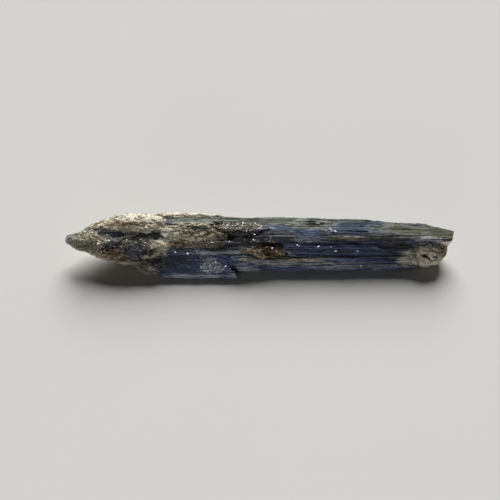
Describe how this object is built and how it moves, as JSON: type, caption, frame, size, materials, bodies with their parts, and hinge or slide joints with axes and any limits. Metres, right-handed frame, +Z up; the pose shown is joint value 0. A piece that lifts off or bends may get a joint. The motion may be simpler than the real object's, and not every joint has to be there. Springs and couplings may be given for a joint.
{
  "type": "kyanite blade cluster",
  "caption": "Elongated bar of parallel flat-faced mineral blades with rough host rock left on its tapered end, in a front pocket and at its broken end.",
  "frame": {"origin": "on the flat cleavage face that the bar rests on, below the middle of its length", "axes": "+X along the blades, away from the tapered end that is crusted with mica; -Y the front, with the rusty pocket; +Z up"},
  "size_m": [0.1108, 0.0175, 0.012],
  "materials": {
    "kyanite": "pearly blue-black crystal, glossy cleavage faces with fine striations along the blades",
    "mica": "crumbly cream and grey-green mica rock with small glinting flakes",
    "rust": "iron-stained mica, matte with a few glints",
    "feldspar": "cream feldspar, matte and pitted"
  },
  "bodies": {
    "root": {"kyanite_blades": "kyanite", "mica_crust": "mica", "rusty_mica": "rust", "feldspar_end": "feldspar"}
  },
  "joints": []
}
